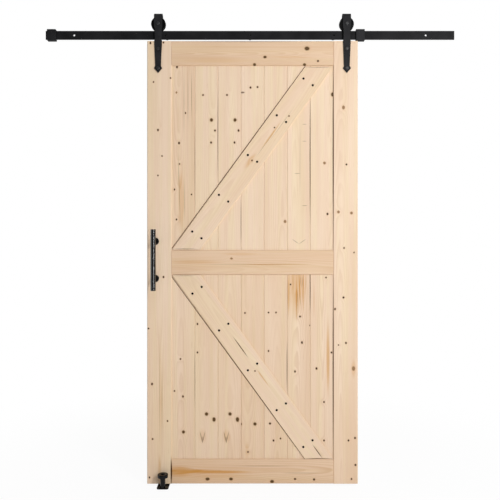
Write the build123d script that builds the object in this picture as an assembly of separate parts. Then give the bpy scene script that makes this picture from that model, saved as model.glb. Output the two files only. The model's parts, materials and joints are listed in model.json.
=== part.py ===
"""Sliding barn door: a framed and braced plank leaf that hangs from a flat steel track.

X runs to the right along the track, Y runs into the wall and Z is up. The origin lies on
the wall, at the back face of the middle spacer, at the height of the track's centre line.
Left and right are as seen from the room. All sizes are in millimetres.
"""

import os
from math import sqrt

from build123d import *

# Leaf: two stiles, three rails and the place of the leaf on the track
LEAF_WIDTH = 1016.0
LEAF_HEIGHT = 2134.0
LEAF_THICKNESS = 35.0
LEAF_SHIFT = 12.0  # middle of the leaf, right of the middle of the track
LEAF_DROP = 10.0  # from the track's lower edge down to the leaf
STILE_WIDTH = 118.0
RAIL_WIDTH = 118.0
FRAME_ARRIS = 3.0  # eased corner along stiles and rails

# Panels: tongue-and-groove boards held in a groove round each opening
BOARD_COUNT = 7
BOARD_THICKNESS = 15.0
BOARD_ARRIS = 2.0  # makes the V between two boards
PANEL_RECESS = 7.0  # from the face of the frame back to the boards
PANEL_GROOVE = 10.0
SHRINKAGE_GAP = 2.0  # room left at the bottom of the panel groove
TONGUE_LENGTH = 6.0
TONGUE_THICKNESS = 5.0
JOINERY_FIT = 0.2  # play between a tongue, tenon or board and its groove

# Braces: one diagonal on each panel
BRACE_WIDTH = 110.0
BRACE_GAP = 2.0  # between a brace and the frame round it
BRACE_HEAD_GAP = 8.0  # between the upper brace and the top rail
BRACE_ARRIS = 0.8

# Track and its wall spacers
TRACK_LENGTH = 1975.0
TRACK_HEIGHT = 42.0
TRACK_THICKNESS = 6.0
TRACK_ARRIS = 0.8
TRACK_BOLT_HOLE = 10.0
END_HOLE_SPACING = 1700.0  # between the two spare holes near the ends
SPACER_SPACING = 406.0
SPACER_LENGTH = 36.0
SPACER_DIAMETER = 20.0

# Wheels and their axle bolts
WHEEL_DIAMETER = 70.0
WHEEL_WIDTH = 20.0
WHEEL_FLANGE = 3.5  # height of the flanges over the tread
WHEEL_ARRIS = 1.5
WHEEL_WEB = 12.0
WHEEL_RIM = 9.0  # from the tread in to the web
HUB_DIAMETER = 24.0
TREAD_PLAY = 1.0  # beside the track, inside the groove
TREAD_GAP = 0.3  # between the tread and the track's upper edge
WHEEL_SIDE_PLAY = 1.0  # between the wheel and each plate of the strap
HUB_PLAY = 0.3
AXLE_DIAMETER = 10.0
AXLE_RUNNING_FIT = 0.05
AXLE_HEAD_DIAMETER = 17.0
AXLE_HEAD_HEIGHT = 5.0

# Straps: one flat bar each, bent over the wheel and cut to an arrowhead below
STRAP_THICKNESS = 5.0
STRAP_ARRIS = 0.8
STRAP_INSET = 53.5  # from the leaf's edge to the middle of the strap
STRAP_CROWN_GAP = 11.0  # from the wheel up to the inside of the bend
STRAP_HEAD_WIDTH = 40.0
STRAP_HEAD_DROP = 14.0  # full width ends this far below the axle
STRAP_WAIST_WIDTH = 33.0
STRAP_WAIST_DROP = 28.0  # the waist starts this far below the axle
STRAP_SHOULDER_WIDTH = 37.0
STRAP_SHOULDER_RISE = 8.0  # the shoulder spreads over this height above the leaf
STRAP_NECK_WIDTH = 27.0
STRAP_REACH = 154.0  # from the leaf's top edge down to the tip
ARROW_WIDTH = 39.0
ARROW_POINT = 22.0
ARROW_BARB = 11.0
STRAP_BOLT_DROP = 38.0
STRAP_BOLT_DIAMETER = 8.0
STRAP_BOLT_HEAD = 16.0
STRAP_BOLT_HEAD_HEIGHT = 5.0
BOLT_HOLE_PLAY = 0.2
HEAD_DOME = 0.7  # rounded share of the height of a bolt's head
NUT_HEIGHT = 7.0

# End stops: saddles dropped over the track
STOP_LENGTH = 42.0
STOP_CHEEK = 8.0
STOP_LIP = 6.0  # above and below the track
STOP_FIT = 0.2
STOP_ARRIS = 1.5
STOP_REST_GAP = 10.0  # from the right wheel to the right stop
STOP_END_MARGIN = 8.0  # from the left stop to the end of the track

# Pull handle on the left stile
HANDLE_INSET = 40.0
HANDLE_DROP = 1055.0  # from the leaf's top edge to the middle of the handle
BAR_LENGTH = 290.0
BAR_DIAMETER = 25.0
BAR_ARRIS = 1.5
BAR_STANDOFF = 66.0  # from the leaf to the middle of the bar
POST_INSET = 55.5  # from each end of the bar to the post
POST_DIAMETER = 14.0
ROSETTE_DIAMETER = 36.0
ROSETTE_THICKNESS = 6.0
ROSETTE_ARRIS = 2.0
HANDLE_STUD = 8.0
SLEEVE_NUT_DIAMETER = 20.0
SLEEVE_NUT_HEIGHT = 4.0

# Floor guide: a bent plate under the leaf and a roller in front of it
GUIDE_INSET = 80.0  # from the leaf's left edge, where the leaf stands, to the roller
GUIDE_WIDTH = 56.0
GUIDE_PLATE = 5.0
GUIDE_BEND = 4.0  # inner radius
GUIDE_UPRIGHT = 45.0
GUIDE_FRONT = 14.0  # from the roller's axis to the front edge
GUIDE_CORNER = 10.0
GUIDE_CLEARANCE = 5.0  # all round the leaf
ROLLER_DIAMETER = 50.0
ROLLER_HEIGHT = 16.0
ROLLER_ARRIS = 2.5
ROLLER_PLAY = 0.3
POST_HEIGHT = 47.0
POST_COLLAR = 24.0
PIN_DIAMETER = 10.0
PIN_RUNNING_FIT = 0.05
PIN_HEAD_DIAMETER = 17.0
PIN_HEAD_HEIGHT = 5.0

# Depths, from the wall forward
TRACK_BACK = -SPACER_LENGTH
TRACK_FRONT = TRACK_BACK - TRACK_THICKNESS
WHEEL_PLANE = (TRACK_BACK + TRACK_FRONT) / 2
STRAP_GAP = WHEEL_WIDTH + 2 * WHEEL_SIDE_PLAY
LEAF_FRONT = WHEEL_PLANE - STRAP_GAP / 2
LEAF_BACK = LEAF_FRONT + LEAF_THICKNESS
BOARD_FRONT = LEAF_FRONT + PANEL_RECESS
BOARD_BACK = BOARD_FRONT + BOARD_THICKNESS
BOARD_MIDDLE = (BOARD_FRONT + BOARD_BACK) / 2

# Heights, from the track's centre line
TRACK_TOP = TRACK_HEIGHT / 2
TRACK_BOTTOM = -TRACK_HEIGHT / 2
AXLE_HEIGHT = TRACK_TOP + TREAD_GAP + WHEEL_DIAMETER / 2 - WHEEL_FLANGE
LEAF_TOP = TRACK_BOTTOM - LEAF_DROP
LEAF_BOTTOM = LEAF_TOP - LEAF_HEIGHT
LEAF_MIDDLE = (LEAF_TOP + LEAF_BOTTOM) / 2
FLOOR = LEAF_BOTTOM - GUIDE_CLEARANCE - GUIDE_PLATE
STRAP_TIP = LEAF_TOP - STRAP_REACH
ARROW_BROAD = STRAP_TIP + ARROW_POINT
STRAP_BOLT_HEIGHTS = (LEAF_TOP - STRAP_BOLT_DROP, ARROW_BROAD)
HANDLE_HEIGHT = LEAF_TOP - HANDLE_DROP
POST_HEIGHTS = {
    "upper": HANDLE_HEIGHT + BAR_LENGTH / 2 - POST_INSET,
    "lower": HANDLE_HEIGHT - BAR_LENGTH / 2 + POST_INSET,
}

# Places along the track
LEAF_LEFT = LEAF_SHIFT - LEAF_WIDTH / 2
LEAF_RIGHT = LEAF_SHIFT + LEAF_WIDTH / 2
OPENING_LEFT = LEAF_LEFT + STILE_WIDTH
OPENING_RIGHT = LEAF_RIGHT - STILE_WIDTH
HANGERS = {"left": LEAF_LEFT + STRAP_INSET, "right": LEAF_RIGHT - STRAP_INSET}
HANDLE_X = LEAF_LEFT + HANDLE_INSET
GUIDE_X = LEAF_LEFT + GUIDE_INSET
STOPS = {
    "left": -TRACK_LENGTH / 2 + STOP_END_MARGIN + STOP_LENGTH / 2,
    "right": HANGERS["right"] + WHEEL_DIAMETER / 2 + STOP_REST_GAP + STOP_LENGTH / 2,
}

# Heights of each rail and of the panel openings between them, as (low, high)
RAILS = {
    "top": (LEAF_TOP - RAIL_WIDTH, LEAF_TOP),
    "middle": (LEAF_MIDDLE - RAIL_WIDTH / 2, LEAF_MIDDLE + RAIL_WIDTH / 2),
    "bottom": (LEAF_BOTTOM, LEAF_BOTTOM + RAIL_WIDTH),
}
PANELS = {
    "upper": (RAILS["middle"][1], RAILS["top"][0]),
    "lower": (RAILS["bottom"][1], RAILS["middle"][0]),
}


def polygon(points):
    """Flat face bounded by straight lines through the points."""
    return make_face(Polyline(*points, close=True))


def block(x, y, z):
    """Box between the two limits given on each axis."""
    size = [high - low for low, high in (x, y, z)]
    middle = [(low + high) / 2 for low, high in (x, y, z)]
    return Pos(*middle) * Box(*size)


def rod(diameter, x, z, y_front, y_back):
    """Round bar along Y between two depths."""
    bar = Rot(90, 0, 0) * Cylinder(diameter / 2, y_back - y_front)
    return Pos(x, (y_front + y_back) / 2, z) * bar


def domed_head(diameter, height, x, z, y_seat):
    """Round bolt head that stands forward of its seat."""
    head = rod(diameter, x, z, y_seat - height, y_seat)
    return fillet(head.faces().sort_by(Axis.Y)[0].edges(), height * HEAD_DOME)


def hex_nut(diameter, x, z, y_seat):
    """Hexagonal nut behind its seat."""
    outline = Plane.XZ * RegularPolygon(diameter / 2, 6)
    return Pos(x, y_seat, z) * extrude(outline, NUT_HEIGHT, dir=(0, 1, 0))


def member_section(low, high, groove_low, groove_high):
    """Section of a stile or rail, as (width, depth) points, with its panel grooves."""
    mouth_front = BOARD_FRONT - JOINERY_FIT
    mouth_back = BOARD_BACK + JOINERY_FIT
    points = [(low + FRAME_ARRIS, LEAF_FRONT), (high - FRAME_ARRIS, LEAF_FRONT)]
    points += [(high, LEAF_FRONT + FRAME_ARRIS)]
    if groove_high:
        bed = high - PANEL_GROOVE
        points += [(high, mouth_front), (bed, mouth_front), (bed, mouth_back), (high, mouth_back)]
    points += [(high, LEAF_BACK - FRAME_ARRIS), (high - FRAME_ARRIS, LEAF_BACK)]
    points += [(low + FRAME_ARRIS, LEAF_BACK), (low, LEAF_BACK - FRAME_ARRIS)]
    if groove_low:
        bed = low + PANEL_GROOVE
        points += [(low, mouth_back), (bed, mouth_back), (bed, mouth_front), (low, mouth_front)]
    return points + [(low, LEAF_FRONT + FRAME_ARRIS)]


def stile(side):
    """Upright of the frame, grooved on its inner edge and drilled for its fittings."""
    if side == "left":
        section = member_section(LEAF_LEFT, OPENING_LEFT, False, True)
    else:
        section = member_section(OPENING_RIGHT, LEAF_RIGHT, True, False)
    upright = extrude(polygon(section), LEAF_HEIGHT, dir=(0, 0, 1))
    upright = Pos(0, 0, LEAF_BOTTOM) * upright
    for height in STRAP_BOLT_HEIGHTS:
        hole = STRAP_BOLT_DIAMETER + 2 * BOLT_HOLE_PLAY
        upright -= rod(hole, HANGERS[side], height, LEAF_FRONT, LEAF_BACK)
    if side == "left":
        for height in POST_HEIGHTS.values():
            hole = HANDLE_STUD + 2 * BOLT_HOLE_PLAY
            upright -= rod(hole, HANDLE_X, height, LEAF_FRONT, LEAF_BACK)
    return upright


def rail(name):
    """Cross member of the frame, with a stub tenon in each stile's groove."""
    low, high = RAILS[name]
    groove_low = name != "bottom"
    groove_high = name != "top"
    section = [(depth, width) for width, depth in member_section(low, high, groove_low, groove_high)]
    outline = Plane.YZ * polygon(section)
    body = Pos(OPENING_LEFT, 0, 0) * extrude(outline, OPENING_RIGHT - OPENING_LEFT, dir=(1, 0, 0))
    tenon_length = PANEL_GROOVE - SHRINKAGE_GAP
    tenon = block(
        (OPENING_LEFT - tenon_length, OPENING_RIGHT + tenon_length),
        (BOARD_FRONT, BOARD_BACK),
        (low + PANEL_GROOVE * groove_low, high - PANEL_GROOVE * groove_high),
    )
    return body + tenon


def board(panel, index):
    """Panel board, grooved on its left edge and tongued on its right one.

    The outer edges of the first and last boards run plain into the stiles' grooves.
    """
    first = index == 0
    last = index == BOARD_COUNT - 1
    pitch = (OPENING_RIGHT - OPENING_LEFT) / BOARD_COUNT
    bite = PANEL_GROOVE - SHRINKAGE_GAP
    left = OPENING_LEFT - bite if first else OPENING_LEFT + index * pitch + JOINERY_FIT
    right = OPENING_RIGHT + bite if last else OPENING_LEFT + (index + 1) * pitch
    tongue = TONGUE_THICKNESS / 2
    groove = tongue + JOINERY_FIT
    bed = left + TONGUE_LENGTH + JOINERY_FIT
    section = [(left, BOARD_FRONT + BOARD_ARRIS), (left + BOARD_ARRIS, BOARD_FRONT)]
    section += [(right - BOARD_ARRIS, BOARD_FRONT), (right, BOARD_FRONT + BOARD_ARRIS)]
    if not last:
        tip = right + TONGUE_LENGTH
        section += [(right, BOARD_MIDDLE - tongue), (tip, BOARD_MIDDLE - tongue)]
        section += [(tip, BOARD_MIDDLE + tongue), (right, BOARD_MIDDLE + tongue)]
    section += [(right, BOARD_BACK - BOARD_ARRIS), (right - BOARD_ARRIS, BOARD_BACK)]
    section += [(left + BOARD_ARRIS, BOARD_BACK), (left, BOARD_BACK - BOARD_ARRIS)]
    if not first:
        section += [(left, BOARD_MIDDLE + groove), (bed, BOARD_MIDDLE + groove)]
        section += [(bed, BOARD_MIDDLE - groove), (left, BOARD_MIDDLE - groove)]
    low, high = PANELS[panel]
    length = high - low + 2 * bite
    return Pos(0, 0, low - bite) * extrude(polygon(section), length, dir=(0, 0, 1))


def brace(panel):
    """Diagonal on the face of a panel, cut level at both ends.

    Its long edges are BRACE_WIDTH apart, so the level cut solves a quadratic in its length.
    """
    low, high = PANELS[panel]
    left = OPENING_LEFT + BRACE_GAP
    right = OPENING_RIGHT - BRACE_GAP
    low += BRACE_GAP
    high -= BRACE_HEAD_GAP if panel == "upper" else BRACE_GAP
    run = right - left
    rise = high - low
    across = BRACE_WIDTH**2
    square = rise**2 - across
    root = sqrt(across**2 * run**2 + square * across * (run**2 + rise**2))
    cut = (root - across * run) / square
    start, end = (low, high) if panel == "upper" else (high, low)
    corners = [(left, start), (left + cut, start), (right, end), (right - cut, end)]
    outline = Plane.XZ * polygon(corners)
    slab = Pos(0, LEAF_FRONT, 0) * extrude(outline, PANEL_RECESS, dir=(0, 1, 0))
    return chamfer(slab.faces().sort_by(Axis.Y)[0].edges(), BRACE_ARRIS)


def track():
    """Flat bar that the wheels roll on, drilled for the wall bolts."""
    bar = block(
        (-TRACK_LENGTH / 2, TRACK_LENGTH / 2),
        (TRACK_FRONT, TRACK_BACK),
        (TRACK_BOTTOM, TRACK_TOP),
    )
    bar = chamfer(bar.edges().filter_by(Axis.X), TRACK_ARRIS)
    half = END_HOLE_SPACING / 2
    for x in (-half, -SPACER_SPACING, 0, SPACER_SPACING, half):
        bar -= rod(TRACK_BOLT_HOLE, x, 0, TRACK_FRONT, TRACK_BACK)
    return bar


def spacer(x):
    """Tube that holds the track off the wall, round a wall bolt."""
    return rod(SPACER_DIAMETER, x, 0, TRACK_BACK, 0) - rod(TRACK_BOLT_HOLE, x, 0, TRACK_BACK, 0)


def wheel(x):
    """Grooved wheel, turned from its section: hub, dished web and flanged tread."""
    bore = AXLE_DIAMETER / 2 + AXLE_RUNNING_FIT
    hub = HUB_DIAMETER / 2
    flange = WHEEL_DIAMETER / 2
    tread = flange - WHEEL_FLANGE
    dish = tread - WHEEL_RIM
    half = WHEEL_WIDTH / 2
    groove = TRACK_THICKNESS / 2 + TREAD_PLAY
    face = STRAP_GAP / 2 - HUB_PLAY
    side = [(bore, face), (hub, face), (hub, WHEEL_WEB / 2), (dish, WHEEL_WEB / 2), (dish, half)]
    side += [(flange - WHEEL_ARRIS, half), (flange, half - WHEEL_ARRIS)]
    side += [(flange, groove + WHEEL_FLANGE / 2), (tread, groove)]
    other = [(radius, -depth) for radius, depth in reversed(side)]
    turned = revolve(polygon(side + other), axis=Axis.Y)
    return Pos(x, WHEEL_PLANE, AXLE_HEIGHT) * turned


def strap_front_outline():
    """Right half of the strap's front face, from the crown down to the tip."""
    half_head = STRAP_HEAD_WIDTH / 2
    half_waist = STRAP_WAIST_WIDTH / 2
    return [
        (half_head, AXLE_HEIGHT + WHEEL_DIAMETER),
        (half_head, AXLE_HEIGHT - STRAP_HEAD_DROP),
        (half_waist, AXLE_HEIGHT - STRAP_WAIST_DROP),
        (half_waist, LEAF_TOP + STRAP_SHOULDER_RISE),
        (STRAP_SHOULDER_WIDTH / 2, LEAF_TOP),
        (STRAP_NECK_WIDTH / 2, ARROW_BROAD + ARROW_BARB),
        (ARROW_WIDTH / 2, ARROW_BROAD),
        (0, STRAP_TIP),
    ]


def strap(x):
    """Flat bar bent over the wheel: a long arrow in front and a rounded tab behind."""
    inner = STRAP_GAP / 2
    outer = inner + STRAP_THICKNESS
    spring = AXLE_HEIGHT + WHEEL_DIAMETER / 2 + STRAP_CROWN_GAP - inner
    tab_end = AXLE_HEIGHT - STRAP_HEAD_WIDTH / 2
    centre = (WHEEL_PLANE, spring)
    side_view = make_face(
        [
            Line((WHEEL_PLANE - outer, STRAP_TIP), (WHEEL_PLANE - outer, spring)),
            CenterArc(centre, outer, 0, 180),
            Line((WHEEL_PLANE + outer, spring), (WHEEL_PLANE + outer, tab_end)),
            Line((WHEEL_PLANE + outer, tab_end), (WHEEL_PLANE + inner, tab_end)),
            Line((WHEEL_PLANE + inner, tab_end), (WHEEL_PLANE + inner, spring)),
            CenterArc(centre, inner, 0, 180),
            Line((WHEEL_PLANE - inner, spring), (WHEEL_PLANE - inner, STRAP_TIP)),
            Line((WHEEL_PLANE - inner, STRAP_TIP), (WHEEL_PLANE - outer, STRAP_TIP)),
        ]
    )
    width = max(STRAP_HEAD_WIDTH, STRAP_SHOULDER_WIDTH, ARROW_WIDTH)
    bent_bar = extrude(Plane.YZ * side_view, width, both=True)

    right_half = strap_front_outline()
    left_half = [(-across, height) for across, height in reversed(right_half[:-1])]
    arrow = extrude(Plane.XZ * polygon(right_half + left_half), outer, dir=(0, -1, 0))
    tab = block(
        (-STRAP_HEAD_WIDTH / 2, STRAP_HEAD_WIDTH / 2),
        (0, outer),
        (AXLE_HEIGHT, AXLE_HEIGHT + WHEEL_DIAMETER),
    )
    tab += rod(STRAP_HEAD_WIDTH, 0, AXLE_HEIGHT, 0, outer)
    bar = bent_bar & (Pos(0, WHEEL_PLANE, 0) * (arrow + tab))
    below_bend = bar.faces().sort_by(Axis.Y)[0].edges().sort_by(Axis.Z)[:-1]
    bar = chamfer(below_bend, STRAP_ARRIS)

    front = WHEEL_PLANE - outer
    bar -= rod(AXLE_DIAMETER + 2 * BOLT_HOLE_PLAY, 0, AXLE_HEIGHT, front, WHEEL_PLANE + outer)
    for height in STRAP_BOLT_HEIGHTS:
        bar -= rod(STRAP_BOLT_DIAMETER + 2 * BOLT_HOLE_PLAY, 0, height, front, WHEEL_PLANE)
    return Pos(x, 0, 0) * bar


def axle_bolt(x):
    """Bolt through both plates of the strap, with its nut behind."""
    front = LEAF_FRONT - STRAP_THICKNESS
    back = WHEEL_PLANE + STRAP_GAP / 2 + STRAP_THICKNESS
    bolt = rod(AXLE_DIAMETER, x, AXLE_HEIGHT, front, back)
    bolt += domed_head(AXLE_HEAD_DIAMETER, AXLE_HEAD_HEIGHT, x, AXLE_HEIGHT, front)
    return bolt + hex_nut(AXLE_HEAD_DIAMETER, x, AXLE_HEIGHT, back)


def strap_bolts(x):
    """Two bolts that clamp a strap to its stile, with their nuts behind the leaf."""
    seat = LEAF_FRONT - STRAP_THICKNESS
    bolts = []
    for height in STRAP_BOLT_HEIGHTS:
        bolt = rod(STRAP_BOLT_DIAMETER, x, height, seat, LEAF_BACK)
        bolt += domed_head(STRAP_BOLT_HEAD, STRAP_BOLT_HEAD_HEIGHT, x, height, seat)
        bolts.append(bolt + hex_nut(STRAP_BOLT_HEAD, x, height, LEAF_BACK))
    return Compound(children=bolts)


def stop(x):
    """Saddle over the track that a wheel comes up against."""
    front = TRACK_FRONT - STOP_FIT
    back = TRACK_BACK + STOP_FIT
    body = block(
        (x - STOP_LENGTH / 2, x + STOP_LENGTH / 2),
        (front - STOP_CHEEK, back + STOP_CHEEK),
        (TRACK_BOTTOM - STOP_LIP, TRACK_TOP + STOP_LIP),
    )
    body = fillet(body.edges(), STOP_ARRIS)
    slot = block(
        (x - STOP_LENGTH, x + STOP_LENGTH),
        (front, back),
        (TRACK_BOTTOM - 2 * STOP_LIP, TRACK_TOP),
    )
    return body - slot


def handle_bar():
    """Round grip of the pull handle."""
    grip = chamfer(Cylinder(BAR_DIAMETER / 2, BAR_LENGTH).edges().filter_by(GeomType.CIRCLE), BAR_ARRIS)
    return Pos(HANDLE_X, LEAF_FRONT - BAR_STANDOFF, HANDLE_HEIGHT) * grip


def handle_post(height):
    """Post of the pull handle: stem, rosette, stud through the leaf and sleeve nut."""
    axis = (HANDLE_X, height)
    stem = rod(POST_DIAMETER, *axis, LEAF_FRONT - BAR_STANDOFF, LEAF_FRONT)
    stem -= Pos(HANDLE_X, LEAF_FRONT - BAR_STANDOFF, height) * Cylinder(BAR_DIAMETER / 2, BAR_LENGTH)
    rosette = rod(ROSETTE_DIAMETER, *axis, LEAF_FRONT - ROSETTE_THICKNESS, LEAF_FRONT)
    rosette = fillet(rosette.faces().sort_by(Axis.Y)[0].edges(), ROSETTE_ARRIS)
    stud = rod(HANDLE_STUD, *axis, LEAF_FRONT, LEAF_BACK)
    nut = rod(SLEEVE_NUT_DIAMETER, *axis, LEAF_BACK, LEAF_BACK + SLEEVE_NUT_HEIGHT)
    return stem + rosette + stud + nut


def roller_axis():
    """Depth of the floor roller's axis, clear of the leaf."""
    return LEAF_FRONT - GUIDE_CLEARANCE - ROLLER_DIAMETER / 2


def guide_bracket():
    """Plate on the floor under the leaf, bent up behind it."""
    front = roller_axis() - GUIDE_FRONT
    inside = LEAF_BACK + GUIDE_CLEARANCE
    back = inside + GUIDE_PLATE
    deck = FLOOR + GUIDE_PLATE
    top = FLOOR + GUIDE_UPRIGHT
    centre = (inside - GUIDE_BEND, deck + GUIDE_BEND)
    side_view = make_face(
        [
            Line((front, FLOOR), (centre[0], FLOOR)),
            CenterArc(centre, GUIDE_BEND + GUIDE_PLATE, 270, 90),
            Line((back, centre[1]), (back, top)),
            Line((back, top), (inside, top)),
            Line((inside, top), (inside, centre[1])),
            CenterArc(centre, GUIDE_BEND, 270, 90),
            Line((centre[0], deck), (front, deck)),
            Line((front, deck), (front, FLOOR)),
        ]
    )
    plate = extrude(Plane.YZ * side_view, GUIDE_WIDTH / 2, both=True)
    corners = plate.edges().filter_by(Axis.Z).group_by(Axis.Y)[0]
    corners += plate.edges().filter_by(Axis.Y).group_by(Axis.Z)[-1]
    plate = fillet(corners, GUIDE_CORNER)
    pin_hole = Cylinder(PIN_DIAMETER / 2 + PIN_RUNNING_FIT, 2 * GUIDE_PLATE)
    return Pos(GUIDE_X, 0, 0) * (plate - Pos(0, roller_axis(), deck) * pin_hole)


def upright_cylinder(diameter, low, high):
    """Cylinder on the floor roller's axis between two heights."""
    middle = (low + high) / 2
    return Pos(GUIDE_X, roller_axis(), middle) * Cylinder(diameter / 2, high - low)


def guide_post():
    """Collar that stands on the plate and carries the roller."""
    low = FLOOR + GUIDE_PLATE
    collar = upright_cylinder(POST_COLLAR, low, low + POST_HEIGHT)
    return collar - upright_cylinder(PIN_DIAMETER + 2 * PIN_RUNNING_FIT, low, low + POST_HEIGHT)


def guide_pin():
    """Headed pin through the roller, its collar and the plate."""
    top = FLOOR + GUIDE_PLATE + POST_HEIGHT + ROLLER_HEIGHT + 2 * ROLLER_PLAY
    pin = upright_cylinder(PIN_DIAMETER, FLOOR, top)
    head = upright_cylinder(PIN_HEAD_DIAMETER, top, top + PIN_HEAD_HEIGHT)
    return pin + fillet(head.faces().sort_by(Axis.Z)[-1].edges(), PIN_HEAD_HEIGHT * HEAD_DOME)


def guide_roller():
    """Floor roller that keeps the leaf from swinging out."""
    low = FLOOR + GUIDE_PLATE + POST_HEIGHT + ROLLER_PLAY
    high = low + ROLLER_HEIGHT
    drum = upright_cylinder(ROLLER_DIAMETER, low, high)
    drum = fillet(drum.edges().filter_by(GeomType.CIRCLE), ROLLER_ARRIS)
    return drum - upright_cylinder(PIN_DIAMETER + 2 * PIN_RUNNING_FIT, low, high)


def assembly():
    """Every piece of the door, by name."""
    pieces = {"track_rail": track()}
    for name, x in (("left", -SPACER_SPACING), ("centre", 0), ("right", SPACER_SPACING)):
        pieces[f"{name}_spacer"] = spacer(x)
    for side, x in STOPS.items():
        pieces[f"{side}_stop"] = stop(x)
    for side, x in HANGERS.items():
        pieces[f"{side}_stile"] = stile(side)
        pieces[f"{side}_strap"] = strap(x)
        pieces[f"{side}_wheel"] = wheel(x)
        pieces[f"{side}_axle_bolt"] = axle_bolt(x)
        pieces[f"{side}_strap_bolts"] = strap_bolts(x)
    for name in RAILS:
        pieces[f"{name}_rail"] = rail(name)
    for panel in PANELS:
        for index in range(BOARD_COUNT):
            pieces[f"{panel}_board_{index + 1}"] = board(panel, index)
        pieces[f"{panel}_brace"] = brace(panel)
    pieces["handle_bar"] = handle_bar()
    for name, height in POST_HEIGHTS.items():
        pieces[f"handle_{name}_post"] = handle_post(height)
    pieces["guide_bracket"] = guide_bracket()
    pieces["guide_post"] = guide_post()
    pieces["guide_pin"] = guide_pin()
    pieces["guide_roller"] = guide_roller()
    return pieces


os.makedirs("parts", exist_ok=True)
for node, piece in assembly().items():
    export_step(piece, f"parts/{node}.step")
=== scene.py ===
"""Looks of the sliding barn door: knotty spruce, black finishes, screws, light and camera.

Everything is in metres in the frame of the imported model: X right along the track, Y into the wall, Z up.
"""

import json
import math
import random

import bmesh
import bpy
from mathutils import Matrix, Vector


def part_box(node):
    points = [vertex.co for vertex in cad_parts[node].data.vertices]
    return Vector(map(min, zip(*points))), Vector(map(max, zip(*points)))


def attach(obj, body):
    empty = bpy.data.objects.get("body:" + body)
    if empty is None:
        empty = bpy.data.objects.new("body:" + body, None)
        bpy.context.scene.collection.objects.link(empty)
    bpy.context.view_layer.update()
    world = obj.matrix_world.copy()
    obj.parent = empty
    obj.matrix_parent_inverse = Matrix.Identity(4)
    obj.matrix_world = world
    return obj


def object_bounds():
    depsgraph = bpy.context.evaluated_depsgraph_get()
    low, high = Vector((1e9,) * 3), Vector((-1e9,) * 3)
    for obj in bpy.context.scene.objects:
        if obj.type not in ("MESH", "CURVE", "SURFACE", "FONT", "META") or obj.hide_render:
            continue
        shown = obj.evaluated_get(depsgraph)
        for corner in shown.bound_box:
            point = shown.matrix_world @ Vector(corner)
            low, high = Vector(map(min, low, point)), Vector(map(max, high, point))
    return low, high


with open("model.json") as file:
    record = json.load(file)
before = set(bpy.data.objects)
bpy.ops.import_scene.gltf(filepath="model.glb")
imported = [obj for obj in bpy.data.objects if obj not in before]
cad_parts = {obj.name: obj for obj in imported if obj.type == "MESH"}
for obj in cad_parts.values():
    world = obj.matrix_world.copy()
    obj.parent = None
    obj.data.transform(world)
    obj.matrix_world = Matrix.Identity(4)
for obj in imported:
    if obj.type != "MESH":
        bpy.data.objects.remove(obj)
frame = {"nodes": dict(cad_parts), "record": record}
CAD_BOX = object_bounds()
WHITE = (1.0, 1.0, 1.0, 1.0)
RIGHTWARD = (1.0, 0.0, 0.0)
INWARD = (0.0, 1.0, 0.0)

# Photograph's frame and the view of it: a level camera square to the leaf
PHOTO_PX = 500
PHOTO_CENTRE_PX = 250
LEAF_TOP_PX = 41.0
PIXEL_M = 0.00482  # at the face of the leaf
CAMERA_DISTANCE_M = 2.8  # from the face of the leaf
SENSOR_MM = 36.0
CLIP_END_M = 100.0
MM_IN_M = 1000

# Faces of the leaf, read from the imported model
LEAF_FACE_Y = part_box("left_stile")[0][1]
LEAF_TOP_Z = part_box("top_rail")[1][2]
FLOOR_Z = CAD_BOX[0][2]
EYE_Z = LEAF_TOP_Z - (PHOTO_CENTRE_PX - LEAF_TOP_PX) * PIXEL_M


def at_pixel(px, py, depth_y):
    """Point (x, z) at the given depth that shows at a pixel of the photograph."""
    scale = PIXEL_M * (CAMERA_DISTANCE_M + depth_y - LEAF_FACE_Y) / CAMERA_DISTANCE_M
    return (px - PHOTO_CENTRE_PX) * scale, EYE_Z - (py - PHOTO_CENTRE_PX) * scale


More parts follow.
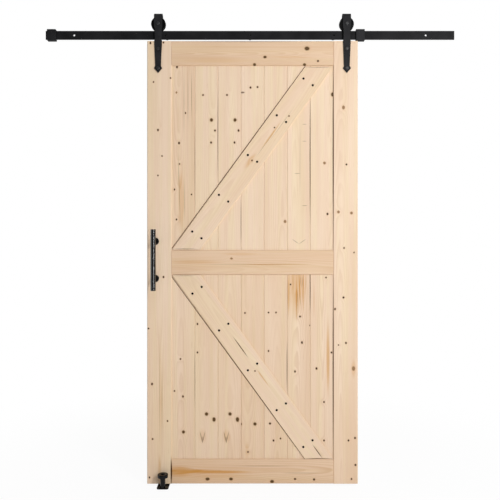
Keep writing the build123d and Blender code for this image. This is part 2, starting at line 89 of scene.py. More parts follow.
# Knots that the photograph shows, read off: pixel column, pixel row, radius in millimetres
KNOTS_PX = {
    "top_rail": [(265, 57, 5.8), (307, 48.5, 8.8), (318, 61, 4.8), (254.5, 64.5, 6.3), (304.5, 64.5, 5.8)],
    "left_stile": [
        (150.5, 43, 4.8), (163.5, 42.5, 4.3), (153.5, 82, 4.1), (170.5, 78, 4.1), (158, 130, 4.8),
        (162, 156, 3.6), (158, 175.5, 3.4), (163.5, 277, 4.6), (148.5, 328.5, 4.2), (152, 384, 5.0),
        (152.5, 439, 4.6), (167.5, 421, 3.6), (149.5, 477.5, 3.8),
    ],
    "right_stile": [
        (346.5, 164.5, 4.1), (344, 248, 4.1), (354, 252.5, 3.6), (343.5, 297.5, 5.2), (335, 309, 4.8),
        (346, 343, 4.3), (338.5, 345, 3.6), (348.5, 440.5, 4.6), (355, 438, 4.6), (355.5, 465, 5.0),
        (351.5, 479, 4.1),
    ],
    "upper_board_1": [
        (177, 67, 5.0), (179, 143, 5.0), (179.5, 164, 3.6), (185.5, 113, 3.6), (174.5, 189.5, 3.8),
        (176.5, 219.5, 4.1), (191.5, 194.5, 3.8),
    ],
    "upper_board_2": [(203, 95, 4.8), (211.5, 120, 6.8), (215, 130.5, 4.8), (211, 142.5, 4.6)],
    "upper_board_3": [(227, 95, 4.8), (235, 120, 6.8), (238.5, 130.5, 4.8), (234.5, 142.5, 4.6)],
    "upper_board_4": [(250.5, 87.5, 4.8), (257.5, 87, 4.8)],
    "upper_board_7": [(332.5, 94.5, 6.8), (327.5, 214, 5.2)],
    "lower_board_1": [(180.5, 359, 4.3), (174.5, 391, 3.8), (183, 396.5, 4.3), (183.5, 432, 6.8)],
    "lower_board_2": [(197.5, 324, 4.1), (197.5, 352.5, 4.3), (206.5, 414, 7.4), (214, 419.5, 7.6)],
    "lower_board_3": [(230, 414, 7.4), (237.5, 419.5, 7.6)],
    "lower_board_4": [(245, 313, 4.1), (240.5, 424, 6.0), (255, 424, 7.2), (248, 452, 4.3)],
    "lower_board_5": [
        (268.5, 312.5, 4.1), (276, 312.5, 4.1), (268.5, 351, 4.1), (270, 423.5, 5.3), (273.5, 440.5, 4.1),
        (280.5, 438.5, 4.1),
    ],
    "lower_board_6": [
        (290.5, 284.5, 4.0), (300, 316.5, 4.6), (302, 342.5, 5.0), (310, 325.5, 3.4), (295, 371.5, 4.3),
    ],
    "lower_board_7": [
        (326, 277.5, 4.1), (316.5, 368.5, 5.3), (324, 402, 4.6), (324, 440.5, 4.6), (331.5, 352.5, 4.1),
    ],
    "bottom_rail": [
        (207.5, 479, 6.8), (231, 479, 6.8), (272, 481.5, 6.8), (295, 479, 5.3), (314, 479.5, 5.5),
    ],
    "upper_brace": [(289, 116, 3.6), (274.5, 127.5, 3.6), (252, 160.5, 4.1)],
    "lower_brace": [(255, 371, 3.6)],
}

# Soft red-brown knots, the same way
RED_KNOTS_PX = {
    "right_stile": [(343.5, 107.5, 5.2), (353.5, 368.5, 6.0), (338.5, 212, 4.6), (351.5, 213, 4.8)],
    "upper_board_1": [(176.5, 92.5, 3.0)],
    "upper_board_5": [(285, 221.5, 4.8)],
    "upper_board_7": [(324.5, 163, 4.6)],
    "middle_rail": [(231.5, 258.5, 4.0)],
}

# Dark hair lines, open joints and painted shadow lines: pixel column and row of the middle, half length and
# half width in millimetres, lean off the grain in degrees, strength
MARKS_PX = {
    "lower_brace": [
        (240.5, 347, 76, 3.0, 0, 1.0), (317.5, 451.5, 50, 3.0, 0, 1.0), (318, 458.4, 80, 1.8, -54, 0.90),
        (184, 275.8, 70, 1.6, -54, 0.60),
    ],
    "left_stile": [
        (159.7, 395, 300, 1.4, 0, 0.40), (162, 405, 240, 1.4, 0, 0.36), (171.1, 472, 90, 3.6, 0, 1.0),
    ],
    # painted shade on the right stile's inner arris, along its joint with the boards
    "right_stile": [(333.4, 150, 520, 2.8, 0, 1.0), (333.4, 370, 520, 2.6, 0, 1.0)],
    "lower_board_1": [(194.8, 378, 190, 2.2, 0, 0.50)],
    "lower_board_2": [
        (194.8, 378, 190, 2.2, 0, 0.50), (201.2, 437, 36, 2.6, -13, 0.55), (203.8, 437, 36, 2.6, 13, 0.55),
        (202.5, 439.5, 20, 5.0, 0, 0.40),
    ],
    "lower_board_3": [
        (225, 437, 36, 2.6, -13, 0.55), (227.6, 437, 36, 2.6, 13, 0.55), (226.3, 439.5, 20, 5.0, 0, 0.40),
    ],
    "lower_board_5": [(287, 367, 150, 2.6, 0, 0.70)],
    "lower_board_6": [
        (287, 367, 150, 2.6, 0, 0.70), (287, 300, 130, 2.2, 0, 0.50), (310.1, 288, 160, 2.8, 0, 0.95),
        (297.3, 301, 90, 1.3, 2, 0.45), (300.6, 281, 40, 1.5, -4, 0.50), (302.6, 281, 45, 1.5, 4, 0.50),
        (300, 299, 45, 1.3, -6, 0.45),
    ],
    # at 333.3, painted shadow of the right stile on the board, along the joint
    "lower_board_7": [(310.1, 288, 160, 2.8, 0, 0.95), (333.3, 370, 520, 4.8, 0, 1.0)],
    "upper_board_1": [
        (184, 105, 200, 1.8, 0, 0.35), (188, 100, 150, 1.8, 0, 0.45), (191.5, 96, 130, 1.8, 0, 0.45),
        (179.2, 188, 215, 1.8, -1.8, 0.50), (184.5, 200, 120, 1.6, 0, 0.40),
        (194.8, 165, 260, 2.4, 0, 0.40),
    ],
    "upper_board_2": [(194.8, 165, 260, 2.4, 0, 0.40), (217.8, 135, 300, 2.6, 0, 0.60)],
    "upper_board_3": [(217.8, 135, 300, 2.6, 0, 0.60), (240.9, 222, 140, 2.4, 0, 0.60)],
    "upper_board_4": [(242.5, 92.5, 14, 6.0, 90, 0.80), (240.9, 222, 140, 2.4, 0, 0.60)],
    "upper_board_6": [
        (310.1, 160, 400, 2.8, 0, 1.0), (295.5, 241.5, 26, 2.2, -55, 0.45),
        (302.5, 241.5, 26, 2.2, 55, 0.45), (304.6, 205.6, 18, 2.4, 90, 0.45),
        (297.3, 173.5, 18, 2.4, 90, 0.45), (304.4, 124.3, 14, 2.6, 90, 0.35),
        (304.4, 141.2, 14, 2.6, 90, 0.35), (300, 160, 230, 1.8, 0, 0.28),
    ],
    # at 333.3, painted shadow of the right stile on the board, along the joint
    "upper_board_7": [(310.1, 160, 400, 2.8, 0, 1.0), (333.3, 150, 520, 5.0, 0, 1.0)],
    # painted shade along the top edge of the top rail
    "top_rail": [(245, 41.7, 340, 2.4, 0, 0.60)],
    "middle_rail": [(255, 264.3, 340, 1.4, 0, 0.40)],
    "bottom_rail": [
        (171.6, 472, 64, 3.4, 90, 1.0), (262, 466, 190, 2.0, 0, 0.40), (300, 473, 110, 2.0, 0, 0.45),
    ],
    "upper_brace": [
        (282, 124, 130, 1.6, 0, 0.35), (264, 146, 90, 1.6, 0, 0.40), (318.5, 67.4, 80, 1.5, 54, 0.65),
        (185, 248.8, 70, 1.6, 54, 0.80),
    ],
}

# Painted shadow on the boards along the left edge of each brace, the same way
BRACE_SHADOWS_PX = {
    "upper": (237.4, 158.8, 1600, 2.4, 36.2, 1.0),
    "lower": (237.8, 367.2, 1600, 2.3, -36.2, 1.0),
}

# Resin streaks: pixel column and row of the middle, half length and half width in millimetres, strength
STREAKS_PX = {
    "lower_board_6": [
        (296, 284, 190, 62, 0.55), (288.6, 294, 140, 8, 0.85), (293, 286, 90, 5, 0.45),
        (296.6, 297, 150, 6, 1.0), (299.6, 288, 100, 5, 0.90), (303.3, 290, 140, 5, 0.85),
        (305.6, 284, 90, 3, 0.40),
    ],
    "lower_board_7": [(328, 360, 230, 12, 0.85), (314, 300, 120, 6, 0.35)],
    "middle_rail": [
        (270, 264.5, 230, 4, 0.70), (240, 254, 120, 10, 0.30), (195, 262, 170, 14, 0.35),
        (182, 262, 230, 90, 0.10),
    ],
    "top_rail": [(215, 60, 230, 20, 0.22), (290, 57, 150, 8, 0.25)],
    "lower_board_2": [(202.5, 436, 45, 26, 0.35)],
    "lower_board_3": [(226.5, 436, 45, 26, 0.35)],
    "lower_board_4": [(247, 452, 60, 16, 0.30)],
    "bottom_rail": [
        (179, 471.5, 90, 34, 1.0), (195, 471.5, 150, 15, 1.0), (213, 471.8, 200, 10, 1.0),
        (228, 472, 160, 8, 0.85), (215, 476, 240, 14, 0.30), (200, 471, 420, 80, 0.14),
    ],
    "left_stile": [(159.5, 470, 90, 12, 0.50), (160.5, 400, 300, 14, 0.25), (157, 410, 620, 160, 0.10)],
    "right_stile": [(353.5, 368.5, 60, 16, 0.45), (346, 465, 480, 160, 0.12)],
    "upper_brace": [(271, 135.5, 110, 6, 0.75), (250, 161, 60, 18, 0.45)],
    "lower_brace": [(263, 378, 70, 5, 0.75)],
    "upper_board_1": [(181, 200, 200, 20, 0.45)],
}

# Figure of each piece: contrast of the rings, strength of the long streaks, share of tan
PLAIN_FIGURE = (0.20, 0.22, 0.06)
FIGURE = {
    "top_rail": (0.44, 0.75, 0.46),
    "middle_rail": (0.36, 0.55, 0.44),
    "bottom_rail": (0.46, 0.55, 0.43),
    "left_stile": (0.20, 0.25, 0.05),
    "upper_board_1": (0.40, 0.95, 0.20),
    "upper_board_7": (0.24, 0.30, 0.00),
    "lower_board_1": (0.22, 0.40, 0.10),
    "lower_board_2": (0.20, 0.22, 0.15),
    "lower_board_3": (0.20, 0.22, 0.18),
    "lower_board_4": (0.24, 0.45, 0.29),
    "lower_board_5": (0.20, 0.22, 0.20),
    "lower_board_6": (0.45, 0.40, 0.10),
    "lower_board_7": (0.40, 0.40, 0.06),
    "upper_brace": (0.16, 0.16, 0.14),
    "lower_brace": (0.16, 0.14, 0.08),
}

# Linear colours of the wood
EARLYWOOD = (0.818, 0.642, 0.490, 1.0)
YELLOW_WOOD = (0.800, 0.655, 0.440, 1.0)
LATEWOOD = (0.540, 0.320, 0.165, 1.0)
TAN_WOOD = (0.632, 0.404, 0.231, 1.0)
PINK_WOOD = (0.775, 0.580, 0.425, 1.0)
RESIN_WOOD = (0.570, 0.275, 0.065, 1.0)
# dark of the hair lines and joints, and of the painted shadow lines
LINE_AND_SHADOW_WOOD = (0.070, 0.020, 0.002, 1.0)

# Noises of the wood: waves a metre along the grain, waves a metre across it, shift of the pattern, detail
NOISES = {
    "wander": (1.6, 3.0, 0.0, 2.0),
    "sway": (1.1, 6.0, 9.0, 2.0),
    "ragged": (160.0, 160.0, 3.0, 2.0),
    "waver": (2.0, 40.0, 5.0, 2.0),
    "patch": (1.3, 14.0, 7.0, 2.0),
    "streak": (0.9, 60.0, 11.0, 3.0),
    "fibre": (9.0, 620.0, 13.0, 3.0),
    "fleck": (16.0, 300.0, 15.0, 1.0),
    "blush": (1.1, 8.0, 17.0, 2.0),
    "tone": (1.6, 20.0, 19.0, 2.0),
    "line": (3.2, 130.0, 21.0, 2.0),
    "gold": (0.9, 36.0, 23.0, 2.0),
    "calm": (1.4, 9.0, 25.0, 2.0),
}
NOISE_MIDDLE = 0.5
SEED_RANGE = (-50.0, 50.0)

# Shares that those noises give: the noise at the start and at the end of the step, and the share at both
SHARES = {
    "patch": (0.30, 0.72, 0.25, 1.0),
    "streak": (0.48, 0.78, 0.0, 0.42),
    "fibre": (0.45, 0.85, 0.0, 0.22),
    "fleck": (0.68, 0.80, 0.0, 0.30),
    "blush": (0.40, 0.75, 0.0, 0.55),
    "line": (0.56, 0.80, 0.0, 1.0),
    "gold": (0.40, 0.66, 0.0, 0.60),
    "calm": (0.36, 0.62, 0.20, 1.0),
}
TONE_STEP = (0.25, 0.75)
TONE_SPREAD = (-0.08, 0.12)  # of the share of tan
LINE_SHARE = 0.20  # of the thin lines in a piece without streaks
LINE_STREAKING = 0.35  # more of them where the streaks are at full strength

# Yearly rings, and where the heart of the tree lies behind the face
WOOD_SEED = 41
HEART_DEPTH_M = (0.024, 0.060)
HEART_SIDE_M = (-0.032, 0.032)
HEART_SLOPE = (0.012, 0.040)  # metres that the heart sinks in a metre of board
HEART_WANDER_M = 0.030
HEART_SWAY_M = 0.026
RING_M = (0.0046, 0.0072)
RING_WAVER = 0.9
LATE_RISE = (0.20, 0.86)  # share of a ring over which it darkens
LATE_FALL = (0.88, 1.0)  # share of a ring over which it ends
KNOT_BEND_M = 0.012  # push of a knot on the rings, at its middle
KNOT_BEND_LEFT = 0.62  # share of it that is left a knot's radius further out

# Knots, marks and streaks
BROWN_KNOT_MM = 5.6  # a knot this large is brown and not black
KNOT_LOOKS = {  # core, rim, halo, share of the radius read
    "black": ((0.030, 0.014, 0.007, 1.0), (0.170, 0.075, 0.028, 1.0), TAN_WOOD, 1.0),
    "brown": ((0.062, 0.029, 0.010, 1.0), (0.270, 0.150, 0.052, 1.0), TAN_WOOD, 1.15),
    "red": ((0.245, 0.138, 0.064, 1.0), (0.485, 0.300, 0.162, 1.0), (0.740, 0.480, 0.310, 1.0), 1.45),
}
KNOT_STRETCH = (1.0, 1.4)
KNOT_HALO = (0.80, 2.20, 0.36, 0.0)  # step in radii, and the share at its start and end
KNOT_RIM = (0.75, 1.25, 0.80, 0.0)
KNOT_CORE = (0.66, 1.00, 1.0, 0.0)
KNOT_RINGS = 4.0
KNOT_RING_SHARE = 0.35
RAGGED_M = 0.0030
MARK_RAGGED = 0.3  # share of that on the marks
MARK_EDGE = (0.35, 1.0)  # in half sizes of the mark
MARK_DEPTH_M = (0.002, 0.004)  # full to the first depth under the face, and gone at the second
STREAK_EDGE = (0.20, 1.0)  # in half sizes of the streak
STREAK_VEINS = (0.0, 0.7, 0.72, 1.0)  # step in the dark of the rings, and the share at its start and end

# Surface of the wood
WOOD_SPECULAR = 0.22
WOOD_ROUGHNESS = (0.2, 0.8, 0.52, 0.70)  # step in the fibres, and the roughness at its start and end
RELIEF_OF_RINGS = 0.25
RELIEF_STRENGTH = 0.35
RELIEF_M = 0.0004

# Black finishes: grey, specular level, roughness, waves of the grain in a metre, depth of the grain
FINISHES = {
    "powder_black": (0.0140, 0.05, 0.46, 900.0, 0.0002),
    "strap_black": (0.0190, 0.08, 0.50, 900.0, 0.0002),
    "gloss_black": (0.0020, 1.00, 0.12, 250.0, 0.000002),
    "nylon_black": (0.0025, 0.06, 0.40, 600.0, 0.0001),
    "bolt_black": (0.0240, 0.60, 0.28, 700.0, 0.00005),
    "guide_black": (0.0025, 0.16, 0.18, 600.0, 0.00002),
    "screw_black": (0.0015, 0.05, 0.42, 700.0, 0.0001),
}
SLOT_FINISHES = {
    "black_steel": "powder_black",
    "gloss_black_steel": "gloss_black",
    "black_nylon": "nylon_black",
}
CLOUD_SCALE = 16.0
CLOUD_DETAIL = 3.0
CLOUD_STEP = (0.30, 0.75)
DARK_CLOUD = (0.80, 0.80, 0.85)  # shares of the grey
PALE_CLOUD = (1.25, 1.25, 1.35)
GRAIN_STEP = (0.2, 0.8)
GRAIN_ROUGHNESS = (-0.06, 0.08)
GRAIN_STRENGTH = 0.25

# Screws in the braces: stations along the brace from its middle, and the distance across each pair
BRACE_WIDTH_M = 0.110
SCREW_STATIONS_M = (-0.456, -0.237, 0.0, 0.237, 0.456)
SCREW_GAUGE_M = 0.055
SCREW_HEAD_R = 0.0055
SCREW_RISE = 0.0014
SCREW_FLOOR = 0.0003  # bottom of the recess, over the wood
SCREW_ROOT = 0.0010
SCREW_SIDES = 24
SCREW_CROWN = 0.86  # share of the radius where the rounded edge ends
SCREW_SQUARE = 0.40  # half side of the recess, in radii
SCREW_TAPER = 0.9  # of the recess, from its top to its bottom

# Screws in the back of the end stops
GRUB_SCREW_R = 0.0035
GRUB_SPREAD_M = 0.020


def new_material(name):
    """Node material, its tree and its principled shader."""
    material = bpy.data.materials.new(name)
    material.use_nodes = True
    tree = material.node_tree
    return material, tree, tree.nodes["Principled BSDF"]


class Graph:
    """Short way to add linked nodes to a shader tree."""

    def __init__(self, tree):
        self.tree = tree

    def put(self, socket, value):
        """Link a socket to an output, or set it to a constant."""
        if isinstance(value, bpy.types.NodeSocket):
            self.tree.links.new(value, socket)
        else:
            socket.default_value = value

    def node(self, kind, values, **settings):
        """Add a node with its settings, and fill its first inputs in order."""
        node = self.tree.nodes.new(kind)
        for name, setting in settings.items():
            setattr(node, name, setting)
        for socket, value in zip(node.inputs, values):
            self.put(socket, value)
        return node

    def place(self, kind="Object"):
        """Texture coordinates of the given kind."""
        return self.tree.nodes.new("ShaderNodeTexCoord").outputs[kind]

    def math(self, operation, *values):
        """Plain arithmetic on numbers."""
        return self.node("ShaderNodeMath", values, operation=operation).outputs[0]

    def vector(self, operation, *values):
        """Arithmetic on vectors."""
        node = self.node("ShaderNodeVectorMath", values, operation=operation)
        scalar = operation in ("DOT_PRODUCT", "LENGTH")
        return node.outputs["Value" if scalar else "Vector"]

    def combine(self, *values):
        """Vector of three numbers."""
        return self.node("ShaderNodeCombineXYZ", values).outputs[0]

    def noise(self, vector, scale=1.0, detail=2.0):
        """Soft noise between 0 and 1."""
        node = self.tree.nodes.new("ShaderNodeTexNoise")
        self.put(node.inputs["Vector"], vector)
        node.inputs["Scale"].default_value = scale
        node.inputs["Detail"].default_value = detail
        return node.outputs["Fac"]

    def ramp(self, value, low, high, start=0.0, end=1.0):
        """Smooth step from start to end while the value goes from low to high."""
        values = (value, low, high, start, end)
        node = self.node("ShaderNodeMapRange", values, interpolation_type="SMOOTHSTEP")
        return node.outputs["Result"]

    def mix(self, factor, first, second):
        """Blend of two colours."""
        return self.node("ShaderNodeMixRGB", (factor, first, second)).outputs[0]

    def bump(self, height, strength, distance):
        """Normal for small relief."""
        node = self.tree.nodes.new("ShaderNodeBump")
        node.inputs["Strength"].default_value = strength
        node.inputs["Distance"].default_value = distance
        self.put(node.inputs["Height"], height)
        return node.outputs["Normal"]


def brace_direction(node):
    """Unit (x, z) along a brace, from the size of its box and its width."""
    low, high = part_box(node)
    run, rise = high[0] - low[0], high[2] - low[2]
    # The ends are cut level, so the box is longer than the run by the width over the sine of the slope
    across = BRACE_WIDTH_M**2
    square = rise**2 - across
    root = math.sqrt(across**2 * run**2 + square * across * (run**2 + rise**2))
    run -= (root - across * run) / square
    length = math.hypot(run, rise)
    return run / length, (rise if node == "upper_brace" else -rise) / length


def grain_direction(node):
    """Unit (x, z) along the grain of a wooden piece."""
    if node.endswith("brace"):
        return brace_direction(node)
    return (1.0, 0.0) if node.endswith("rail") else (0.0, 1.0)


class Timber:
    """Place in a wooden piece, from its middle: along its grain, across it and into it."""

    def __init__(self, graph, node, seed):
        low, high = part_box(node)
        run, rise = grain_direction(node)
        self.graph = graph
        self.node = node
        self.seed = seed
        self.middle = (low + high) / 2
        self.face_y = low[1]
        self.along = Vector((run, 0.0, rise))
        self.across = Vector((-rise, 0.0, run))
        self.place = graph.vector("SUBTRACT", graph.place(), self.middle)
        self.lengthwise = graph.vector("DOT_PRODUCT", self.place, self.along)
        self.sideways = graph.vector("DOT_PRODUCT", self.place, self.across)
        self.inward = graph.vector("DOT_PRODUCT", self.place, INWARD)
        self.ragged = self.swing("ragged", RAGGED_M)

    def noise(self, name):
        """Noise with the named number of waves along the grain and across it."""
        along, across, shift, detail = NOISES[name]
        graph = self.graph
        length = graph.math("MULTIPLY", self.lengthwise, along)
        width = graph.math("MULTIPLY", self.sideways, across)
        depth = graph.math("MULTIPLY_ADD", self.inward, across, self.seed + shift)
        return graph.noise(graph.combine(length, width, depth), detail=detail)

    def share(self, name):
        """Share that the named noise gives."""
        return self.graph.ramp(self.noise(name), *SHARES[name])

    def swing(self, name, size):
        """Named noise as a distance to both sides of zero."""
        swing = self.graph.math("SUBTRACT", self.noise(name), NOISE_MIDDLE)
        return self.graph.math("MULTIPLY", swing, size)

    def spot(self, px, py, half_length, half_width, ragged, lean=0.0):
        """Distance from a spot of the photograph, in half sizes of the spot, which are in millimetres."""
        graph = self.graph
        x, z = at_pixel(px, py, self.face_y)
        away = graph.vector("SUBTRACT", self.place, Vector((x, self.middle[1], z)) - self.middle)
        turn = Matrix.Rotation(math.radians(lean), 3, "Y")
        sides = []
        for axis, half_size in ((self.along, half_length), (self.across, half_width)):
            reach = half_size / MM_IN_M
            side = graph.vector("DOT_PRODUCT", away, turn @ axis / reach)
            sides.append(graph.math("MULTIPLY_ADD", ragged, 1 / reach, side))
        return graph.vector("LENGTH", graph.combine(*sides, 0.0))


def knots_by_look(node):
    """Knots of a piece, under the look that each has."""
    plain = KNOTS_PX.get(node, [])
    return {
        "black": [knot for knot in plain if knot[2] < BROWN_KNOT_MM],
        "brown": [knot for knot in plain if knot[2] >= BROWN_KNOT_MM],
        "red": RED_KNOTS_PX.get(node, []),
    }


def nearest_knot(timber, knots, size, rng):
    """Distance from the nearest of the knots, in knot radii times the given size."""
    fields = []
    for px, py, radius in knots:
        radius *= size
        stretched = radius * rng.uniform(*KNOT_STRETCH)
        fields.append(timber.spot(px, py, stretched, radius, timber.ragged))
    nearest = fields[0]
    for field in fields[1:]:
        nearest = timber.graph.math("MINIMUM", nearest, field)
    return nearest


def ring_radius(timber, rng):
    """Distance from the heart of the tree, which slopes and wanders behind the face."""
    graph = timber.graph
    slope = rng.choice((-1, 1)) * rng.uniform(*HEART_SLOPE)
    depth = graph.math("ADD", timber.inward, rng.uniform(*HEART_DEPTH_M))
    depth = graph.math("MULTIPLY_ADD", timber.lengthwise, slope, depth)
    depth = graph.math("ADD", timber.swing("wander", HEART_WANDER_M), depth)
    side = graph.math("SUBTRACT", timber.sideways, rng.uniform(*HEART_SIDE_M))
    side = graph.math("ADD", timber.swing("sway", HEART_SWAY_M), side)
    return graph.vector("LENGTH", graph.combine(side, depth, 0.0))


def dark_of_rings(timber, knots, rng):
    """Share of the dark late wood in the rings, which bend round the knots."""
    graph = timber.graph
    radius = ring_radius(timber, rng)
    for knot in knots.values():
        bend = graph.math("POWER", KNOT_BEND_LEFT, knot)
        radius = graph.math("MULTIPLY_ADD", bend, KNOT_BEND_M, radius)
    turns = graph.math("DIVIDE", radius, rng.uniform(*RING_M))
    phase = graph.math("FRACT", graph.math("MULTIPLY_ADD", timber.noise("waver"), RING_WAVER, turns))
    rising = graph.ramp(phase, *LATE_RISE)
    falling = graph.ramp(phase, *LATE_FALL, 1.0, 0.0)
    late = graph.math("MULTIPLY", rising, falling)
    return graph.math("MULTIPLY", late, timber.share("patch"))


def plain_wood(timber, late):
    """Colour between the knots: tone, rings, long streaks, thin lines, fibres and flecks."""
    graph = timber.graph
    contrast, streaking, tan = FIGURE.get(timber.node, PLAIN_FIGURE)
    tone = graph.ramp(timber.noise("tone"), *TONE_STEP, *(tan + spread for spread in TONE_SPREAD))
    line = graph.math("MULTIPLY", timber.share("line"), timber.share("calm"))
    layers = (
        (timber.share("blush"), PINK_WOOD),
        (timber.share("gold"), YELLOW_WOOD),
        (tone, TAN_WOOD),
        (graph.math("MULTIPLY", late, contrast), LATEWOOD),
        (graph.math("MULTIPLY", timber.share("streak"), streaking), LATEWOOD),
        (graph.math("MULTIPLY", line, LINE_SHARE + LINE_STREAKING * streaking), TAN_WOOD),
        (timber.share("fibre"), TAN_WOOD),
        (timber.share("fleck"), LATEWOOD),
    )
    colour = EARLYWOOD
    for amount, wood in layers:
        colour = graph.mix(amount, colour, wood)
    return colour


def with_resin(timber, colour, late):
    """Colour with the resin streaks of a piece."""
    graph = timber.graph
    veins = graph.ramp(late, *STREAK_VEINS)
    for px, py, half_length, half_width, strength in STREAKS_PX.get(timber.node, []):
        field = timber.spot(px, py, half_length, half_width, timber.ragged)
        amount = graph.math("MULTIPLY", graph.ramp(field, *STREAK_EDGE, strength, 0.0), veins)
        colour = graph.mix(amount, colour, RESIN_WOOD)
    return colour


def marks(node):
    """Dark lines of a piece. A board also has the painted shadow line along the brace that crosses it."""
    lines = MARKS_PX.get(node, [])
    half, _, rest = node.partition("_")
    return lines + [BRACE_SHADOWS_PX[half]] if rest.startswith("board") else lines


def with_marks(timber, colour):
    """Colour with the dark lines of a piece (hair lines, open joints and painted shadow), which are on its
    face only.
    """
    graph = timber.graph
    face = timber.face_y - timber.middle[1]
    shallow = graph.ramp(timber.inward, *(face + depth for depth in MARK_DEPTH_M), 1.0, 0.0)
    ragged = graph.math("MULTIPLY", timber.ragged, MARK_RAGGED)
    for px, py, half_length, half_width, lean, strength in marks(timber.node):
        field = timber.spot(px, py, half_length, half_width, ragged, lean)
        amount = graph.math("MULTIPLY", graph.ramp(field, *MARK_EDGE, strength, 0.0), shallow)
        colour = graph.mix(amount, colour, LINE_AND_SHADOW_WOOD)
    return colour


def with_knots(timber, colour, knots):
    """Colour with the knots of a piece, each with a halo, a rim and a ringed core."""
    graph = timber.graph
    for look, knot in knots.items():
        core, rim, halo, _ = KNOT_LOOKS[look]
        rings = graph.math("PINGPONG", graph.math("MULTIPLY", knot, KNOT_RINGS), 1.0)
        ringed_core = graph.mix(graph.math("MULTIPLY", rings, KNOT_RING_SHARE), core, rim)
        colour = graph.mix(graph.ramp(knot, *KNOT_HALO), colour, halo)
        colour = graph.mix(graph.ramp(knot, *KNOT_RIM), colour, rim)
        colour = graph.mix(graph.ramp(knot, *KNOT_CORE), colour, ringed_core)
    return colour


def spruce(node, rng):
    """Knotty spruce for one piece."""
    material, tree, shader = new_material(f"spruce_{node}")
    graph = Graph(tree)
    timber = Timber(graph, node, rng.uniform(*SEED_RANGE))
    knots = {}
    for look, places in knots_by_look(node).items():
        if places:
            knots[look] = nearest_knot(timber, places, KNOT_LOOKS[look][-1], rng)
    late = dark_of_rings(timber, knots, rng)
    colour = with_resin(timber, plain_wood(timber, late), late)
    colour = with_knots(timber, with_marks(timber, colour), knots)

    fibre = timber.noise("fibre")
    relief = graph.math("MULTIPLY_ADD", late, RELIEF_OF_RINGS, fibre)
    graph.put(shader.inputs["Base Color"], colour)
    graph.put(shader.inputs["Roughness"], graph.ramp(fibre, *WOOD_ROUGHNESS))
    graph.put(shader.inputs["Normal"], graph.bump(relief, RELIEF_STRENGTH, RELIEF_M))
    shader.inputs["Specular IOR Level"].default_value = WOOD_SPECULAR
    return material


def black_finish(name):
    """Black coat, a little cold, with a fine texture and faint clouds."""
    grey, specular, roughness, grain_scale, grain_depth = FINISHES[name]
    material, tree, shader = new_material(name)
    graph = Graph(tree)
    place = graph.place()
    grain = graph.noise(place, grain_scale)
    cloud = graph.ramp(graph.noise(place, CLOUD_SCALE, CLOUD_DETAIL), *CLOUD_STEP)
    dark, pale = ((*(grey * part for part in tint), 1.0) for tint in (DARK_CLOUD, PALE_CLOUD))
    rough = graph.ramp(grain, *GRAIN_STEP, *(roughness + spread for spread in GRAIN_ROUGHNESS))
    graph.put(shader.inputs["Base Color"], graph.mix(cloud, dark, pale))
    graph.put(shader.inputs["Roughness"], rough)
    graph.put(shader.inputs["Normal"], graph.bump(grain, GRAIN_STRENGTH, grain_depth))
    shader.inputs["Specular IOR Level"].default_value = specular
    return material


def screw_head(mesh, centre, radius, facing):
    """Screw head with a square recess, facing along Y to the given side."""
    square = SCREW_SQUARE * radius
    rings = [
        (radius, SCREW_ROOT, False),
        (radius, -SCREW_RISE / 2, False),
        (SCREW_CROWN * radius, -SCREW_RISE, False),
        (square, -SCREW_RISE, True),
        (SCREW_TAPER * square, -SCREW_FLOOR, True),
    ]
    loops = []
    for reach, depth, squared in rings:
        loop = []
        for index in range(SCREW_SIDES):
            angle = math.tau * index / SCREW_SIDES
            across, up = math.cos(angle), math.sin(angle)
            size = reach / max(abs(across), abs(up)) if squared else reach
            offset = Vector((size * across, -facing * depth, size * up))
            loop.append(mesh.verts.new(Vector(centre) + offset))
        loops.append(loop)
    for outer, inner in zip(loops, loops[1:]):
        for index in range(SCREW_SIDES):
            after = (index + 1) % SCREW_SIDES
            mesh.faces.new((outer[index], outer[after], inner[after], inner[index]))
    mesh.faces.new(loops[-1])
    mesh.faces.new(reversed(loops[0]))


def add_piece(name, mesh, material, body):
    """Turn a bmesh into a steel piece that rides on a body."""
    bmesh.ops.recalc_face_normals(mesh, faces=mesh.faces)
    data = bpy.data.meshes.new(name)
    mesh.to_mesh(data)
    mesh.free()
    data.materials.append(material)
    piece = bpy.data.objects.new(name, data)
    bpy.context.collection.objects.link(piece)
    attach(piece, body)


def brace_screws(node, material):
    """Pairs of screws along a brace."""
    low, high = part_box(node)
    run, rise = brace_direction(node)
    along, across = Vector((run, 0.0, rise)), Vector((-rise, 0.0, run))
    middle = (low + high) / 2
    middle[1] = low[1]
    mesh = bmesh.new()
    for station in SCREW_STATIONS_M:
        for side in (-SCREW_GAUGE_M / 2, SCREW_GAUGE_M / 2):
            screw_head(mesh, middle + station * along + side * across, SCREW_HEAD_R, -1)
    add_piece(f"{node}_screws", mesh, material, "door")


def grub_screws(node, material):
    """Two screws in the back of an end stop, which clamp it to the track."""
    low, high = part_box(node)
    middle = (low + high) / 2
    mesh = bmesh.new()
    for side in (-GRUB_SPREAD_M / 2, GRUB_SPREAD_M / 2):
        screw_head(mesh, (middle[0] + side, high[1], middle[2]), GRUB_SCREW_R, 1)
    add_piece(f"{node}_screws", mesh, material, "track")


def finish_name(node, slot):
    """Name of a piece's black finish, or None where the piece is of wood."""
    if node.startswith("guide"):
        return "guide_black"
    if node.endswith(("strap_bolts", "axle_bolt")):
        return "bolt_black"
    if node.endswith(("strap", "stop")):
        return "strap_black"
    return SLOT_FINISHES.get(slot)


def dress():
    """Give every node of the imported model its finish, and add the screws."""
    rng = random.Random(WOOD_SEED)
    finishes = {name: black_finish(name) for name in FINISHES}
    for part in frame["record"]["subparts"]:
        node = part["node"]
        finish = finish_name(node, part["material_slot"])
        mesh = frame["nodes"][node].data
        mesh.materials.clear()
        mesh.materials.append(finishes[finish] if finish else spruce(node, rng))
    for node in ("upper_brace", "lower_brace"):
        brace_screws(node, finishes["screw_black"])
    for node in ("left_stop", "right_stop"):
        grub_screws(node, finishes["screw_black"])


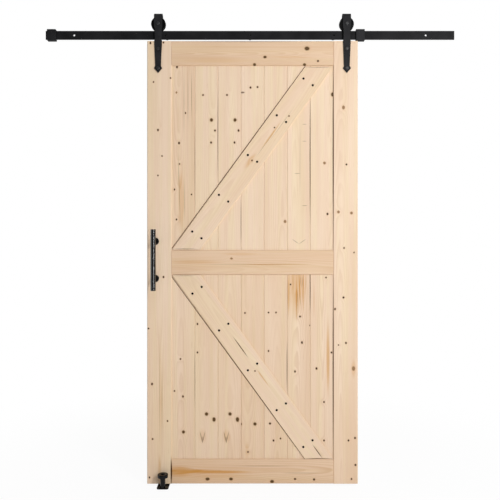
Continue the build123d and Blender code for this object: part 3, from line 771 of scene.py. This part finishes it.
# Studio: white behind the object and a darker room behind the eye
WORLD_LIGHT = (0.09, 0.72)  # from the far left and from the far right
WORLD_SIDES = (-0.8, 0.8)
BACK_LIGHT = 0.85
ROOM_DARK = 0.14
ROOM_EDGE = (0.05, 0.60)  # share of a direction into the wall from which the room is dark and is white

# Lamps, each with its place, width and height, and power: a key high on the right, a strip for the gloss of
# the handle and a fill on the left
LAMPS = {
    "key": ((1.7, -2.7, 0.5), (0.6, 0.8), 53.0),
    "strip": ((1.25, -2.4, -1.1), (0.14, 0.8), 14.0),
    "fill": ((-3.2, -1.3, -1.1), (0.6, 1.6), 8.0),
}

FLOOR_SIZE_M = 12.0
FLOOR_GREY = 0.90
FLOOR_ROUGHNESS = 0.9
FLOOR_GLOW = 0.93  # share of plain white beside the object
FLOOR_FADE_M = (0.6, 2.2)


def straight_rays(graph):
    """1 for what the eye sees directly, in gloss or through glass, and 0 for light."""
    path = graph.tree.nodes.new("ShaderNodeLightPath").outputs
    straight = graph.math("MAXIMUM", path["Is Camera Ray"], path["Is Glossy Ray"])
    return graph.math("MAXIMUM", straight, path["Is Transmission Ray"])


def white_world():
    """White to the eye. In reflections and as light, white behind the object and darker behind the eye."""
    world = bpy.data.worlds.new("studio")
    bpy.context.scene.world = world
    world.use_nodes = True
    graph = Graph(world.node_tree)
    direction = graph.place("Generated")
    inward = graph.vector("DOT_PRODUCT", direction, INWARD)
    rightward = graph.vector("DOT_PRODUCT", direction, RIGHTWARD)
    mirrored = graph.ramp(inward, *ROOM_EDGE, ROOM_DARK, 1.0)
    side_light = graph.ramp(rightward, *WORLD_SIDES, *WORLD_LIGHT)
    light = graph.ramp(inward, *ROOM_EDGE, side_light, BACK_LIGHT)
    path = world.node_tree.nodes.new("ShaderNodeLightPath").outputs
    strength = graph.ramp(path["Is Glossy Ray"], 0.0, 1.0, light, mirrored)
    seen = graph.math("MAXIMUM", path["Is Camera Ray"], path["Is Transmission Ray"])
    background = world.node_tree.nodes["Background"]
    background.inputs["Color"].default_value = WHITE
    graph.put(background.inputs["Strength"], graph.ramp(seen, 0.0, 1.0, strength, 1.0))


def pale_floor():
    """Pale floor that keeps the object's shadow and fades to white away from it."""
    mesh = bmesh.new()
    bmesh.ops.create_grid(mesh, x_segments=1, y_segments=1, size=FLOOR_SIZE_M / 2)
    data = bpy.data.meshes.new("floor")
    mesh.to_mesh(data)
    mesh.free()
    floor = bpy.data.objects.new("floor", data)
    floor.location = (0.0, 0.0, FLOOR_Z)
    bpy.context.collection.objects.link(floor)

    material, tree, shader = new_material("pale_floor")
    data.materials.append(material)
    shader.inputs["Base Color"].default_value = (FLOOR_GREY, FLOOR_GREY, FLOOR_GREY, 1.0)
    shader.inputs["Roughness"].default_value = FLOOR_ROUGHNESS
    graph = Graph(tree)
    away = graph.ramp(graph.vector("LENGTH", graph.place()), *FLOOR_FADE_M, FLOOR_GLOW, 1.0)
    white = tree.nodes.new("ShaderNodeEmission")
    choose = tree.nodes.new("ShaderNodeMixShader")
    graph.put(choose.inputs[0], graph.math("MULTIPLY", straight_rays(graph), away))
    graph.put(choose.inputs[1], shader.outputs[0])
    graph.put(choose.inputs[2], white.outputs[0])
    graph.put(tree.nodes["Material Output"].inputs["Surface"], choose.outputs[0])


def softbox(name, place, size, power):
    """Rectangular lamp that faces the middle of the leaf."""
    lamp = bpy.data.lights.new(name, "AREA")
    lamp.shape = "RECTANGLE"
    lamp.size, lamp.size_y = size
    lamp.energy = power
    holder = bpy.data.objects.new(name, lamp)
    holder.location = place
    aim = Vector((0.0, LEAF_FACE_Y, EYE_Z)) - Vector(place)
    holder.rotation_euler = aim.to_track_quat("-Z", "Y").to_euler()
    bpy.context.collection.objects.link(holder)


def camera():
    """Level camera square to the leaf, in the photograph's frame."""
    eye = bpy.data.cameras.new("camera")
    eye.sensor_width = SENSOR_MM
    eye.lens = CAMERA_DISTANCE_M / PIXEL_M * SENSOR_MM / PHOTO_PX
    eye.clip_end = CLIP_END_M
    holder = bpy.data.objects.new("camera", eye)
    holder.location = (0.0, LEAF_FACE_Y - CAMERA_DISTANCE_M, EYE_Z)
    holder.rotation_euler = (math.pi / 2, 0.0, 0.0)
    bpy.context.collection.objects.link(holder)
    bpy.context.scene.camera = holder


dress()
white_world()
pale_floor()
for lamp_name, (lamp_place, lamp_size, lamp_power) in LAMPS.items():
    softbox(lamp_name, lamp_place, lamp_size, lamp_power)
camera()
bpy.context.scene.view_settings.view_transform = "Standard"
